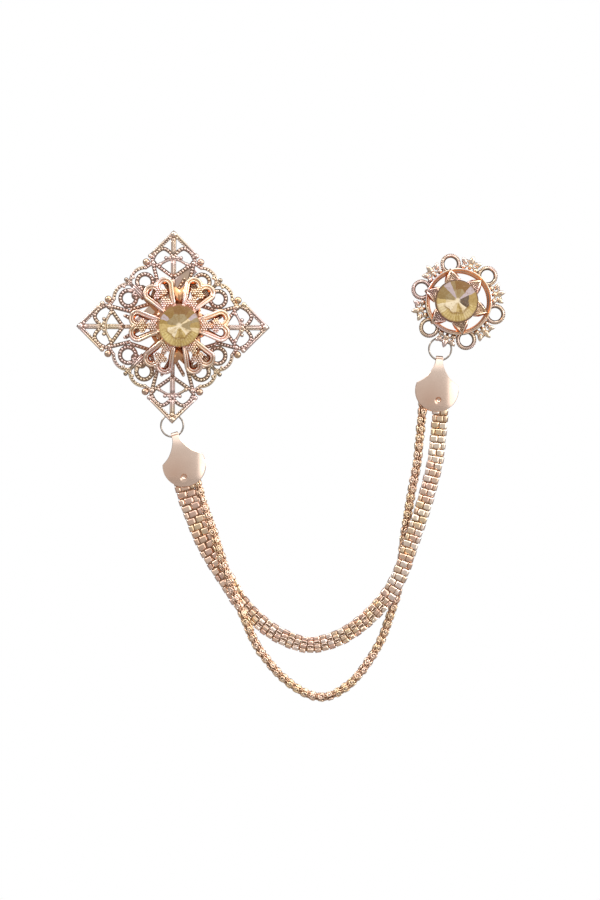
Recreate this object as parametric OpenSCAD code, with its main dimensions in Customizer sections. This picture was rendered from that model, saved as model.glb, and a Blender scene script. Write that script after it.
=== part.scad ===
// Lapel chain: a square filigree brooch and a small round one, joined by a flat woven chain and a
// round chain that hang between two folded end plates. Millimetres, +Z up, front towards -Y.
// The origin is the middle of the large brooch's pin, where it holds the cloth.

/* [Brooches] */
// Side of the large square filigree
square_side = 40; // [39:0.25:41]
// Thickness of both filigree castings
casting_t = 1.3; // [1.3:0.05:1.5]
// Length of a flower petal from the middle of the flower
petal_length = 14.8; // [14.5:0.1:15.2]
// Radius to the middle of the lace loops of the small brooch
loop_place_r = 11.33; // [11.2:0.05:11.5]
// Diameter of each stone
stone_d = 12; // [11.6:0.1:12.2]
// Height of each stone's crown above its edge
crown_h = 2.4; // [2:0.1:2.8]

/* [Rings and plates] */
// Radius of a jump ring to the middle of its wire
ring_r = 3.27; // [3.2:0.01:3.35]
// Diameter of the jump ring's wire
ring_wire = 0.54; // [0.5:0.02:0.58]
// Thickness of the folded sheet of an end plate
sheet_t = 0.5; // [0.4:0.05:0.6]
// Radius of the round lower part of an end plate
plate_r = 6.3; // [6:0.1:6.4]
// Radius of the dome of each leaf of an end plate
leaf_dome_r = 24; // [22:1:30]

/* [Chains] */
// Width of the flat woven chain
flat_w = 4.6; // [4.2:0.1:4.8]
// Thickness of the flat woven chain
flat_t = 1.4; // [1.2:0.1:1.5]
// Diameter of the round chain
round_d = 2.7; // [2.4:0.1:2.8]

/* [Pins] */
// Length of the large brooch's pin bar
large_bar = 25; // [24:0.5:26]
// Length of the small brooch's pin bar
small_bar = 18.4; // [18:0.2:18.8]
// Distance from a pin's stem to its bar
pin_gap = 1.9; // [1.6:0.1:2.2]

/* [Hidden] */
$fn = 32;

// Gap that keeps two touching pieces apart
gap = 0.1;
bar_t = 0.8;
stem_r = 0.4;

// Distances in front of the pins, from the back of each piece
casting_back = pin_gap + bar_t + gap;
ring_plane = casting_back + casting_t / 2;
casting_front = casting_back + casting_t;

// Middles of the brooches in the X and Z directions
large_middle = [2.84, -8.44];
large_turn = -0.5;
small_middle = [86.3, -1.1];

// The square: distances are for a 40 mm side, u runs out to a corner and v across it
square_k = square_side / 40;
corner_r = 28.28;
granulated_w = 1.15;
// One eighth of the square's bands. Columns: width, points [u, v]
square_bands = [
    [1.1, [[27.5, 0], [20.6, 6.9]]],
    [1.5, [[26.6, 0], [21, 0]]],
    [granulated_w, [[20.9, 0], [22.3, 1.6], [22.9, 2.9], [22.4, 4.2], [21.2, 5.4], [19.3, 6.3]]],
    [0.8, [[19.8, 0], [19.6, 1.6], [18.7, 3.3], [18.2, 4.2]]],
    [1.5, [[19.8, 0], [14.6, 0]]],
    [granulated_w, [[14.6, 0], [18.4, 5.4]]],
    [granulated_w, [[18.2, 5.9], [12.4, 4.4]]],
    [0.8, [[18.6, 6], [19, 7.6]]],
    [0.8, [[18.4, 6.4], [17.1, 8.3]]],
    [1.1, [[13.6, 13.6], [9.2, 9.2]]],
    [1.9, [[11.7, 11.7], [8.4, 8.4]]],
    [1.1, [[9, 0.3], [13.9, 3.2]]],
    [granulated_w, [[12.5, 4.9], [6.6, 6.8]]],
    [1.2, [[14.7, 0], [6.2, 0]]],
    [1.2, [[9.6, 9.6], [4.4, 4.4]]]
];
// Round parts of the same eighth. Columns: radius, place [u, v]
square_knots = [[0.55, [20.2, 2.2]], [0.6, [18.3, 3.9]], [0.95, [18.6, 5.9]], [1, [18.9, 7.9]],
                [0.65, [13.75, 13.75]], [1.35, [10.9, 9.1]]];
eye_place = [13.1, 8.3];
eye_r = 2.3;
eye_w = 1.3;
scallop_r = 4.15;
hub_r = 6.3;
ball_r = 1.05;
ball_place = [18.95, 7.95];
// Raised smooth bands on top of the casting: the corner frame and the stems
raised_bands = [
    [0.6, [[27.6, 0.2], [20.9, 6.75]]],
    [1.1, [[24.5, 0], [21.4, 0]]],
    [1.1, [[19.4, 0], [15.2, 0]]],
    [0.6, [[12.4, 12.4], [9.6, 9.6]]]
];
relief_h = 0.3;

// The flower: a petal lies along +X from the middle of the flower
flower_shift = [1.9, 0.3];
stone_shift = [2.15, 0];
flower_dome_r = 40;
flower_t = 0.9;
petal_wire = 1.5;
petal_lobe_r = 2.7;
petal_lobe = [petal_length - petal_lobe_r, 2.1];
petal_foot = [5.6, 2.1];
petal_start = 5.4;
// Clusters of granules along a petal. Columns: radius, place
petal_knots = [[0.95, [12, 0]], [0.95, [10.7, 1.05]], [0.95, [10.7, -1.05]],
               [0.8, [8.4, 0]], [0.8, [7.3, 0.85]], [0.8, [7.3, -0.85]]];
flower_disc_r = 6.3;
flower_back = casting_front + gap;

// The round brooch's lace: a cluster lies along +X from the middle of the brooch
loop_turn = 41.5;
loop_r = 2.4;
loop_w = 1.15;
lace_in_r = 8.95;
lace_out_r = 9.8;
cluster_turn = 11.5;
eyelet_place = [11.5, 1.35];
eyelet_r = 0.62;
eyelet_rim = 0.53;
centre_leaf = [[9.4, 0.4], [11.2, 0.45], [12.5, 0.9], [14, 0], [12.5, -0.9], [11.2, -0.45], [9.4, -0.4]];
side_leaf = [[11, 1.9], [11.6, 2.75], [12.7, 3], [12.2, 1.9]];
cluster_knot = [0.8, [10.1, 1.9]];
// Section of the raised wall: distance from the middle and height above the casting's back
wall_section = [[8.35, 0.05], [9.45, 0.05], [9.45, 3.1], [9.15, 3.1], [8.65, 1.1], [8.35, 0.7]];
wall_top = 3.1;
star_shift = [-0.7, -0.06];
star_turn = 40.4;
star_tip_r = 9.7;
star_foot = [6.07, 2.33];
star_start = 4.9;
star_tilt = 10;
star_t = 0.8;
star_border = 0.5;
star_border_h = 0.25;
star_disc_r = 6.35;

// Stones and their settings: a cup that stays just inside the stone's edge
bezel_t = 0.3;
bezel_inset = 0.05;
bezel_foot_r = 3;
seat_h = 1.7;
seat_gap = 0.2;
girdle_h = 0.4;
culet_r = 0.6;
table_r = 0.5;
kite_r = 4.2;
mains = 8;

// Jump rings: the clearance round the wire where it passes the castings
ring_play = 0.05;
groove_r = ring_wire / 2 + ring_play;
// Places in the brooches' own planes
large_ring_place = [0, -28.82 * square_k];
small_ring_turn = cluster_turn - 120;
small_ring_cluster = [14.72, -0.67];
front_groove_w = 1.5;

// End plates: each hangs from the lowest point of its ring, turned about Y by its lean
left_lean = 17;
right_lean = -4.7;
fold_in = 0.4;
fold_lift = 0.35;
neck_w = 2.1;
plate_middle = -8.9;
leaf_top = 0.6;
// Right half of the outline from the neck down to the shoulder
neck_outline = [[1.05, leaf_top], [1.08, -0.4], [1.3, -1.5], [2, -3.05], [2.9, -4.45],
                [4.1, -5.75], [5.95, -6.95]];
leaf_rim = 1.5;
dimple_r = 1.1;
dimple_depth = 0.32;
left_dimple = [-0.9, -12];
right_dimple = [0.6, -11.7];

// Routes of the chains, from the left plate to the right one: X, Z and distance in front of the pins
flat_route = [
    [5, -51.6, 3.45], [6.1, -55.2, 3.45], [7.35, -59.6, 3.45], [8.7, -63.1, 3.45],
    [10.9, -68.9, 3.45], [13, -73.4, 3.45], [15.3, -77.4, 3.45], [19.5, -84, 3.45],
    [22.8, -89.2, 3.45], [28.3, -94.7, 3.45], [35, -99.1, 3.45], [42.6, -101.4, 3.5],
    [50.1, -99.8, 3.7], [56.2, -96.4, 4.1], [61.8, -91.5, 4.5], [66.3, -86, 4.8],
    [69.6, -79.8, 4.9], [71.8, -73.3, 4.9], [74.1, -66.6, 4.8], [76.9, -58, 4.4],
    [79.5, -47.9, 3.8], [80.3, -41.5, 3.5], [81, -34, 3.45], [81.4, -29.2, 3.45]
];
round_route = [
    [9.1, -51.8, 3.45], [10.4, -55.5, 3.45], [11.5, -59.6, 3.45], [12.8, -63.1, 3.6],
    [14.9, -68.9, 4.7], [16.4, -73.6, 5.5], [18.1, -79, 5.75], [19.8, -83.7, 5.75],
    [21.7, -88.5, 5.75], [23.8, -93.6, 5.6], [26.9, -100.6, 4.9], [29.6, -104.7, 4.3],
    [34.4, -110.4, 3.7], [40.6, -115, 3.45], [45.9, -116.6, 3.45], [50.2, -115.7, 3.45],
    [54.6, -112.8, 3.4], [58, -109.1, 3.2], [60.9, -105, 3], [63.5, -100.5, 2.8],
    [65.4, -95.8, 2.7], [67, -91, 2.65], [68.5, -86, 2.6], [69.5, -79.4, 2.6],
    [70.3, -71.6, 2.6], [71.5, -63.7, 2.65], [72.7, -56.7, 2.8], [74.3, -48.1, 3.1],
    [74.9, -42.2, 3.3], [75.7, -33.7, 3.45], [76, -29.4, 3.45]
];
round_sides = 8;
rings_between = 2;

// Pins
large_pin_turn = 45;
small_pin_turn = star_turn + 60;
large_bar_w = 3;
small_bar_w = 1.5;
pin_end = 1.6;
catch_h = 0.9;

// Points on an arc about c, from angle a0 to a1
function arc(c, r, a0, a1, n) = [for (i = [0:n]) let (a = a0 + (a1 - a0) * i / n) c + r * [cos(a), sin(a)]];
function unit(v) = v / norm(v);
function reversed(p) = [for (i = [len(p) - 1:-1:0]) p[i]];
function heading(p, i) = unit(p[min(i + 1, len(p) - 1)] - p[max(i - 1, 0)]);
function beside(p, d) = [for (i = [0:len(p) - 1]) let (h = heading(p, i)) p[i] + d * [-h[1], h[0]]];
function turned(p, a) = [p[0] * cos(a) - p[1] * sin(a), p[0] * sin(a) + p[1] * cos(a)];

// A curve through every point of p, with n steps between two points
function between(a, b, c, d, t) =
    (2 * b + (c - a) * t + (2 * a - 5 * b + 4 * c - d) * t * t + (3 * b - a - 3 * c + d) * t * t * t) / 2;
function smooth(p, n) = concat(
    [for (i = [0:len(p) - 2]) for (j = [0:n - 1])
        between(p[max(i - 1, 0)], p[i], p[i + 1], p[min(i + 2, len(p) - 1)], j / n)],
    [p[len(p) - 1]]);

module band(width, points) {
    polygon(concat(beside(points, width / 2), reversed(beside(points, -width / 2))));
}

module annulus(r, width) {
    difference() {
        circle(r + width / 2);
        circle(r - width / 2);
    }
}

// Closes slits too thin to cast
module closed(slit) {
    offset(delta = -slit) offset(delta = slit) children();
}

// Stands a piece drawn in its own plane up behind its front: +Z becomes the way to the viewer
module standing(middle, back, turn = 0) {
    translate([middle[0], -back, middle[1]]) rotate([90, 0, 0]) rotate(turn) children();
}

module four_corners() {
    for (i = [0:3], m = [0, 1]) rotate(90 * i) mirror([0, m]) scale(square_k) children();
}

module square_eighth() {
    for (b = square_bands) band(b[0], len(b[1]) > 2 ? smooth(b[1], 3) : b[1]);
    for (k = square_knots) translate(k[1]) circle(k[0], $fn = 16);
    translate(eye_place) annulus(eye_r, eye_w, $fn = 24);
    band(0.8, arc(eye_place, scallop_r, -6, 96, 10));
    polygon([[28.28, 0], [27.2, 1.08], [26.15, 1.2], [26.15, 0]]);
}

// The way cut for a jump ring: behind the casting, or in front of it where kept is drawn
module ring_groove(place, from, to) {
    translate([place[0], place[1], from]) linear_extrude(to - from) difference() {
        circle(ring_r + groove_r, $fn = 72);
        circle(ring_r - groove_r, $fn = 72);
    }
}

module square_filigree() {
    middle_h = casting_t / 2;
    color("rosybrown") standing(large_middle, casting_back, large_turn) difference() {
        union() {
            linear_extrude(casting_t - relief_h) closed(0.12) {
                four_corners() square_eighth();
                annulus(hub_r, 1.2, $fn = 48);
            }
            translate([0, 0, relief_h]) linear_extrude(casting_t - relief_h)
                four_corners() for (b = raised_bands) band(b[0], b[1]);
            for (i = [0:3], s = [-1, 1]) rotate(90 * i) scale(square_k)
                translate([ball_place[0], s * ball_place[1], middle_h + 0.1]) sphere(ball_r);
        }
        intersection() {
            ring_groove(large_ring_place, middle_h - groove_r, casting_t + 1);
            translate([-front_groove_w / 2, -30, -5]) cube([front_groove_w, 10, 10]);
        }
        difference() {
            ring_groove(large_ring_place, -1, middle_h + groove_r);
            translate([-front_groove_w / 2, -30, -5]) cube([front_groove_w, 10, 10]);
        }
    }
}

// Outline of a petal: two lobes with a notch between them
function petal_half(s) = concat(
    [[petal_foot[0], s * petal_foot[1]], [9, s * 3.6]],
    [for (p = arc([petal_lobe[0], petal_lobe[1]], petal_lobe_r, 105, -38, 9)) [p[0], s * p[1]]]);

module petal() {
    outline = concat(petal_half(1), reversed(petal_half(-1)));
    closed(0.12) {
        difference() {
            polygon(outline);
            offset(delta = -petal_wire) polygon(outline);
        }
        band(granulated_w, [[petal_start, 0], [13.6, 0]]);
        for (k = petal_knots) translate(k[1]) circle(k[0], $fn = 14);
    }
}

module flower_filigree() {
    dome_low = sqrt(pow(flower_dome_r, 2) - pow(petal_length, 2));
    dome_middle = flower_t - dome_low;
    disc_back = dome_rise() - flower_t;
    color("salmon") standing(large_middle + flower_shift, flower_back) {
        for (i = [0:5]) rotate(60 * i) intersection() {
            linear_extrude(6) petal();
            translate([0, 0, dome_middle]) difference() {
                sphere(flower_dome_r, $fn = 128);
                sphere(flower_dome_r - flower_t, $fn = 128);
            }
        }
        translate([0, 0, disc_back]) cylinder(h = flower_t, r = flower_disc_r);
    }
}

// Height of the flower's highest point above its petal tips
function dome_rise() = sqrt(pow(flower_dome_r, 2) - pow(petal_start, 2))
    - sqrt(pow(flower_dome_r, 2) - pow(petal_length, 2)) + flower_t;
large_seat = flower_back + dome_rise() + gap;
star_back = casting_back + wall_top + gap;
star_rise = (star_tip_r - star_start) * sin(star_tilt);
small_seat = star_back + star_rise + star_t + gap;

module bezel(middle, back) {
    outer = stone_d / 2 - bezel_inset;
    top = seat_h - seat_gap;
    color("rosybrown") standing(middle, back) rotate_extrude($fn = 64)
        polygon([[bezel_foot_r, 0], [outer, 0], [outer, top], [outer - bezel_t, top], [bezel_foot_r, bezel_t]]);
}

module large_bezel() {
    bezel(large_middle + stone_shift, large_seat);
}

module small_bezel() {
    bezel(small_middle + star_shift, small_seat);
}

// A round stone with a small table, eight kite facets, sixteen edge facets and a pointed back
module stone(middle, back) {
    edge_r = stone_d / 2;
    sides = 2 * mains;
    step = 360 / sides;
    slope = crown_h / (edge_r - table_r * cos(step));
    edge_top = seat_h + girdle_h;
    table_z = edge_top + crown_h;
    kite_z = edge_top + (edge_r - kite_r * cos(step)) * slope;
    circle_points = function(r, z, n, start) [for (i = [0:n - 1])
        [r * cos(start + 360 * i / n), r * sin(start + 360 * i / n), z]];
    points = concat(
        circle_points(table_r, table_z, mains, step),
        circle_points(kite_r, kite_z, mains, step),
        circle_points(edge_r, edge_top, sides, 0),
        circle_points(edge_r, seat_h, sides, 0),
        circle_points(culet_r, bezel_t + gap, sides, 0));
    kite = mains;
    top = 2 * mains;
    low = top + sides;
    culet = low + sides;
    faces = concat(
        [[for (i = [mains - 1:-1:0]) i]],
        [for (i = [0:mains - 1]) let (j = (i + 1) % mains)
            [i, j, kite + j, top + (2 * i + 2) % sides, kite + i]],
        [for (i = [0:mains - 1]) [kite + i, top + 2 * i + 1, top + 2 * i]],
        [for (i = [0:mains - 1]) [kite + i, top + (2 * i + 2) % sides, top + 2 * i + 1]],
        [for (i = [0:sides - 1]) [top + i, top + (i + 1) % sides, low + (i + 1) % sides, low + i]],
        [for (i = [0:sides - 1]) [low + i, low + (i + 1) % sides, culet + (i + 1) % sides, culet + i]],
        [[for (i = [0:sides - 1]) culet + i]]);
    color("khaki") standing(middle, back) polyhedron(points, faces);
}

module large_stone() {
    stone(large_middle + stone_shift, large_seat);
}

module small_stone() {
    stone(small_middle + star_shift, small_seat);
}

// A bar soldered behind a brooch, with a hinge block, a catch and a stem that tapers to its point
module pin(middle, turn, length, width, end_width) {
    half = length / 2;
    block = 1.6;
    point = 3;
    color("silver") standing(middle, 0, turn) {
        translate([0, 0, pin_gap]) linear_extrude(bar_t) {
            square([length - 2 * pin_end, width], center = true);
            square([length, end_width], center = true);
        }
        translate([-half + pin_end, -0.7, -stem_r - 0.2]) cube([block, 1.4, pin_gap + 0.8]);
        translate([-half + pin_end + 0.3, 0, 0]) rotate([0, 90, 0]) cylinder(h = length - 2 * pin_end - point - 0.6, r = stem_r);
        translate([half - pin_end - point - 0.4, 0, 0]) rotate([0, 90, 0]) cylinder(h = point, r1 = stem_r, r2 = 0.12);
        translate([half - pin_end - block, 0.5, -catch_h]) cube([block, 0.4, pin_gap + catch_h + 0.2]);
        translate([half - pin_end - block, -0.6, -catch_h]) cube([block, 1.3, 0.4]);
    }
}

module large_pin() {
    pin([0, 0], large_pin_turn, large_bar, large_bar_w, large_bar_w);
}

module small_pin() {
    pin(small_middle + star_shift, small_pin_turn, small_bar, small_bar_w, 1);
}

// Middles of the two jump rings in the X and Z directions
large_ring = large_middle + turned(large_ring_place, large_turn);
small_ring = small_middle + turned(small_ring_cluster, small_ring_turn);

module jump_ring(middle) {
    color("gray") standing(middle, ring_plane) rotate_extrude($fn = 72)
        translate([ring_r, 0]) circle(ring_wire / 2, $fn = 20);
}

module large_jump_ring() {
    jump_ring(large_ring);
}

module small_jump_ring() {
    jump_ring(small_ring);
}

// The spade outline of a leaf, below the wire that it hangs from
module leaf_outline() {
    shoulder = neck_outline[len(neck_outline) - 1];
    half = concat(smooth(neck_outline, 2),
                  arc([0, plate_middle], plate_r, atan2(shoulder[1] - plate_middle, shoulder[0]), -90, 12));
    polygon(concat(half, [for (p = reversed(half)) [-p[0], p[1]]]));
}

// One leaf of an end plate: the outline cut from a shell that rises from the fold and over the chains
module leaf() {
    high = [fold_lift, fold_in + sheet_t];
    low = [plate_middle - plate_r, leaf_rim + sheet_t];
    half_way = norm(low - high) / 2;
    across = unit(low - high);
    shell = (high + low) / 2 - sqrt(pow(leaf_dome_r, 2) - pow(half_way, 2)) * [across[1], -across[0]];
    intersection() {
        linear_extrude(5) leaf_outline();
        translate([0, shell[0], shell[1]]) difference() {
            sphere(leaf_dome_r, $fn = 128);
            sphere(leaf_dome_r - sheet_t, $fn = 128);
        }
    }
}

module end_plate(ring_middle, lean, dimple) {
    color("burlywood") standing(ring_middle, ring_plane, lean) translate([0, -ring_r, 0]) {
        difference() {
            leaf();
            translate([dimple[0], dimple[1], 3.35]) sphere(dimple_r);
        }
        mirror([0, 0, 1]) leaf();
        translate([-neck_w / 2, fold_lift, 0]) rotate([90, 0, 90]) linear_extrude(neck_w) intersection() {
            annulus(fold_in + sheet_t / 2, sheet_t);
            translate([0, -2]) square([2, 4]);
        }
    }
}

module left_end_plate() {
    end_plate(large_ring, left_lean, left_dimple);
}

module right_end_plate() {
    end_plate(small_ring, right_lean, right_dimple);
}

// A closed solid with the section at every point of the route. The section is drawn across and outward
module swept(route, section) {
    n = len(section);
    rings = len(route);
    flat = [for (p = route) [p[0], p[1]]];
    points = [for (i = [0:rings - 1], s = section) let (h = heading(flat, i))
        [route[i][0] - s[0] * h[1], -route[i][2] - s[1], route[i][1] + s[0] * h[0]]];
    faces = concat(
        [[for (j = [0:n - 1]) j]],
        [for (i = [0:rings - 2], j = [0:n - 1]) let (k = (j + 1) % n)
            [i * n + j, (i + 1) * n + j, (i + 1) * n + k]],
        [for (i = [0:rings - 2], j = [0:n - 1]) let (k = (j + 1) % n)
            [i * n + j, (i + 1) * n + k, i * n + k]],
        [[for (j = [n - 1:-1:0]) (rings - 1) * n + j]]);
    polyhedron(points, faces);
}

module flat_chain() {
    w = flat_w / 2;
    t = flat_t / 2;
    bevel = 0.3;
    section = [[w, -t + bevel], [w, t - bevel], [w - bevel, t], [bevel - w, t],
               [-w, t - bevel], [-w, bevel - t], [bevel - w, -t], [w - bevel, -t]];
    color("peru") swept(smooth(flat_route, rings_between), section);
}

module round_chain() {
    section = [for (i = [0:round_sides - 1]) round_d / 2 * [cos(360 * i / round_sides), sin(360 * i / round_sides)]];
    color("tan") swept(smooth(round_route, rings_between), section);
}

module lace() {
    difference() {
        union() {
            for (i = [0:5]) rotate(loop_turn + 60 * i) translate([loop_place_r, 0]) annulus(loop_r, loop_w, $fn = 28);
            for (i = [0:5]) rotate(cluster_turn + 60 * i) {
                polygon(centre_leaf);
                for (m = [0, 1]) mirror([0, m]) {
                    translate(eyelet_place) annulus(eyelet_r + eyelet_rim / 2, eyelet_rim, $fn = 16);
                    polygon(side_leaf);
                    translate(cluster_knot[1]) circle(cluster_knot[0], $fn = 16);
                }
            }
        }
        circle(lace_in_r + 0.1, $fn = 60);
    }
    annulus((lace_in_r + lace_out_r) / 2, lace_out_r - lace_in_r, $fn = 60);
}

module round_filigree() {
    middle_h = casting_t / 2;
    place = turned(small_ring_cluster, small_ring_turn);
    color("rosybrown") standing(small_middle, casting_back) difference() {
        union() {
            linear_extrude(casting_t) closed(0.08) lace();
            rotate_extrude($fn = 72) polygon(wall_section);
        }
        rotate(small_ring_turn) {
            intersection() {
                ring_groove(small_ring_cluster, middle_h - groove_r, casting_t + 1);
                translate([10, -eyelet_place[1] - 5, -5]) cube([6, 5, 10]);
            }
            intersection() {
                ring_groove(small_ring_cluster, -1, middle_h + groove_r);
                translate([10, -eyelet_place[1], -5]) cube([6, 8, 10]);
            }
        }
    }
}

// A point of the star: a triangle with a raised border, tilted down to the wall
module star_point() {
    outline = [[star_tip_r, 0], star_foot, [star_start, star_foot[1] - 0.6],
               [star_start, 0.6 - star_foot[1]], [star_foot[0], -star_foot[1]]];
    translate([star_tip_r, 0, 0]) rotate([0, star_tilt, 0]) translate([-star_tip_r, 0, 0]) {
        linear_extrude(star_t - star_border_h) polygon(outline);
        translate([0, 0, 0.1]) linear_extrude(star_t - 0.1) difference() {
            offset(delta = -0.04) polygon(outline);
            offset(delta = -star_border) polygon(outline);
        }
    }
}

module star_plate() {
    color("salmon") standing(small_middle + star_shift, star_back) {
        for (i = [0:5]) rotate(star_turn + 60 * i) star_point();
        translate([0, 0, star_rise]) cylinder(h = star_t, r = star_disc_r);
    }
}

square_filigree();
flower_filigree();
large_bezel();
large_stone();
large_pin();
large_jump_ring();
left_end_plate();
flat_chain();
round_chain();
right_end_plate();
small_jump_ring();
round_filigree();
star_plate();
small_bezel();
small_stone();
small_pin();
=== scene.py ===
# Lapel chain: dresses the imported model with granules, wires, links, stones and finishes.
import math
import random

import bmesh
import bpy
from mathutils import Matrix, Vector


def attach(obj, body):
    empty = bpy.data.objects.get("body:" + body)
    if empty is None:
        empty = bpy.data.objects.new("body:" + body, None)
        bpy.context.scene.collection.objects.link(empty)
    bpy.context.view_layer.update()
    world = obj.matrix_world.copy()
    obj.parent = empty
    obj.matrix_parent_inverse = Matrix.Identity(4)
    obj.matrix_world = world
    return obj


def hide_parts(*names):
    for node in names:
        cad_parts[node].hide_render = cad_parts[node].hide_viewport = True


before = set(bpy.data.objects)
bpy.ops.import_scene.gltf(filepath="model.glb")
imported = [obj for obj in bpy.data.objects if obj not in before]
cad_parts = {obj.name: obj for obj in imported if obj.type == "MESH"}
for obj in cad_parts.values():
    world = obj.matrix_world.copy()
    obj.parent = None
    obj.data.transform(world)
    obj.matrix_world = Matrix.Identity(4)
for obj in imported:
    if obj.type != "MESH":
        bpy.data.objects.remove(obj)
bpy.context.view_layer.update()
metres = 0.001  # everything below is drawn in millimetres
seeded = random.Random(11)
forward = Vector((0, -1, 0))
print("frame loaded:", len(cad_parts), "nodes")

# Camera and light
cameraView = {
    "middle": (40.0, -44.4),  # X and Z of the photograph's middle
    "distance": 800,
    "frameHeight": 263.25,  # what the picture takes in from top to bottom
    "plane": 3.5,  # distance of the pictured plane in front of the pins
}


def placeCamera(view):
    camera = bpy.data.cameras.new("camera")
    camera.lens = camera.sensor_width * view["distance"] / view["frameHeight"]
    camera.clip_start = 0.01
    camera.clip_end = 20
    holder = bpy.data.objects.new("camera", camera)
    x, z = view["middle"]
    holder.location = Vector((x, -view["plane"] - view["distance"], z)) * metres
    holder.rotation_euler = (math.pi / 2, 0, 0)
    bpy.context.collection.objects.link(holder)
    bpy.context.scene.camera = holder


placeCamera(cameraView)
bpy.context.scene.view_settings.view_transform = "Standard"


# Shader maths: an expression on sockets adds the Math nodes that it needs
class Value:
    def __init__(self, tree, socket):
        self.tree = tree
        self.socket = socket

    def maths(self, operation, *values):
        node = self.tree.nodes.new("ShaderNodeMath")
        node.operation = operation
        for socket, value in zip(node.inputs, values):
            feed(self.tree, socket, value)
        return Value(self.tree, node.outputs[0])

    def __add__(self, other):
        return self.maths("ADD", self, other)

    def __sub__(self, other):
        return self.maths("SUBTRACT", self, other)

    def __rsub__(self, other):
        return self.maths("SUBTRACT", other, self)

    def __mul__(self, other):
        return self.maths("MULTIPLY", self, other)

    def __truediv__(self, other):
        return self.maths("DIVIDE", self, other)

    def __pow__(self, other):
        return self.maths("POWER", self, other)

    __radd__ = __add__
    __rmul__ = __mul__

    def held(self):
        return self.maths("MINIMUM", self.maths("MAXIMUM", self, 0.0), 1.0)

    # from 0 at start to 1 at end
    def rise(self, start, end):
        return ((self - start) / (end - start)).held()


def feed(tree, socket, value):
    if isinstance(value, Value):
        tree.links.new(value.socket, socket)
    else:
        socket.default_value = value


# The nodes of a material, or of the world
class Surface:
    def __init__(self, name, world=False):
        self.owner = (bpy.data.worlds if world else bpy.data.materials).new(name)
        self.owner.use_nodes = True
        self.tree = self.owner.node_tree
        self.tree.nodes.clear()

    # Any node: its settings, then the values or links of its sockets; stops are the hard steps of a ramp
    def node(self, kind, settings=None, sockets=None, output=0):
        made = self.tree.nodes.new(kind)
        for name, value in (settings or {}).items():
            if name == "stops":
                ramp = made.color_ramp
                ramp.interpolation = "CONSTANT"
                while len(ramp.elements) < len(value):
                    ramp.elements.new(0.5)
                for element, (place, colour) in zip(ramp.elements, value):
                    element.position = place
                    element.color = (*colour, 1)
            else:
                setattr(made, name, value)
        for name, value in (sockets or {}).items():
            feed(self.tree, made.inputs[name], value)
        return Value(self.tree, made.outputs[output]) if len(made.outputs) else None

    def place(self):
        return self.node("ShaderNodeTexCoord", output="Object")

    def parts(self, vector):
        split = self.node("ShaderNodeSeparateXYZ", None, {0: vector}).socket.node
        return [Value(self.tree, output) for output in split.outputs]

    # X, Y and Z in millimetres
    def axes(self, place):
        return [part * (1 / metres) for part in self.parts(place)]

    def mix(self, factor, first, second):
        return self.node("ShaderNodeMix", {"data_type": "RGBA"},
                         {0: factor, 6: colourOf(first), 7: colourOf(second)}, 2)

    def noise(self, place, scale, detail):
        return self.node("ShaderNodeTexNoise", None, {"Vector": place, "Scale": scale, "Detail": detail})

    def out(self, shader, kind="ShaderNodeOutputMaterial"):
        self.node(kind, None, {"Surface": shader})
        return self.owner

    # bump holds a height, its strength and its distance in metres
    def finish(self, bump=None, **sockets):
        values = {name.replace("_", " "): colourOf(value) for name, value in sockets.items()}
        if bump:
            height, strength, distance = bump
            values["Normal"] = self.node("ShaderNodeBump", None,
                                         {"Height": height, "Strength": strength, "Distance": distance})
        return self.out(self.node("ShaderNodeBsdfPrincipled", None, values))


def colourOf(value):
    return (*value, 1) if isinstance(value, tuple) and len(value) == 3 else value


# How far a point of the surface lies from a place, seen from the front
def distanceFrom(place, x, z):
    right = x - place[0]
    above = z - place[1]
    return (right * right + above * above) ** 0.5


# Light: a soft white room, dark below and brightest above, with a large lamp on each side and above
lamps = {
    # name: (place in metres, size, power, what it points at)
    "left": ((-0.75, -0.3, 0.6), 0.3, 3.0, (0.03, 0, -0.03)),
    "right": ((0.85, -0.1, 0.2), 0.3, 2.4, (0.06, 0, -0.03)),
    "above": ((0.05, -0.2, 0.85), 0.3, 1.6, (0.04, 0, -0.03)),
}
# the room's light by height, even at eye level, a white wall on the right, and shade behind the piece
room = {
    "heights": [(-0.85, 0.04), (-0.5, 0.56), (0.5, 0.66), (0.8, 1.9)],
    "wall": 1.1, "wallEdge": (0.3, 0.36), "behind": 0.15, "behindEdge": (0.0, 0.45),
    # straight behind the room is light again, for whoever looks at the back
    "far": 0.75, "farEdge": (0.75, 0.92),
}


def lightRoom():
    world = Surface("room", True)
    rightward, backward, height = world.parts(world.node("ShaderNodeTexCoord", output="Generated"))
    steps = room["heights"]
    strength = rightward.rise(*room["wallEdge"]) * room["wall"] + steps[0][1]
    for (low, before), (high, after) in zip(steps, steps[1:]):
        strength = strength + height.rise(low, high) * (after - before)
    lightBehind = backward.rise(*room["farEdge"]) * room["far"]
    shade = backward.rise(*room["behindEdge"]) * (1 - room["behind"]) * (1 - lightBehind)
    strength = strength * (1 - shade)
    # the camera itself sees plain white
    seen = world.node("ShaderNodeLightPath", output="Is Camera Ray")
    strength = seen + (1 - seen) * strength
    background = world.node("ShaderNodeBackground", None, {"Color": (1, 1, 1, 1), "Strength": strength})
    bpy.context.scene.world = world.out(background, "ShaderNodeOutputWorld")
    for name, (place, size, power, target) in lamps.items():
        lamp = bpy.data.lights.new(name, "AREA")
        lamp.size = size
        lamp.energy = power
        holder = bpy.data.objects.new(name, lamp)
        holder.location = place
        holder.rotation_euler = (Vector(target) - Vector(place)).to_track_quat("-Z", "Y").to_euler()
        bpy.context.collection.objects.link(holder)


lightRoom()


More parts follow.
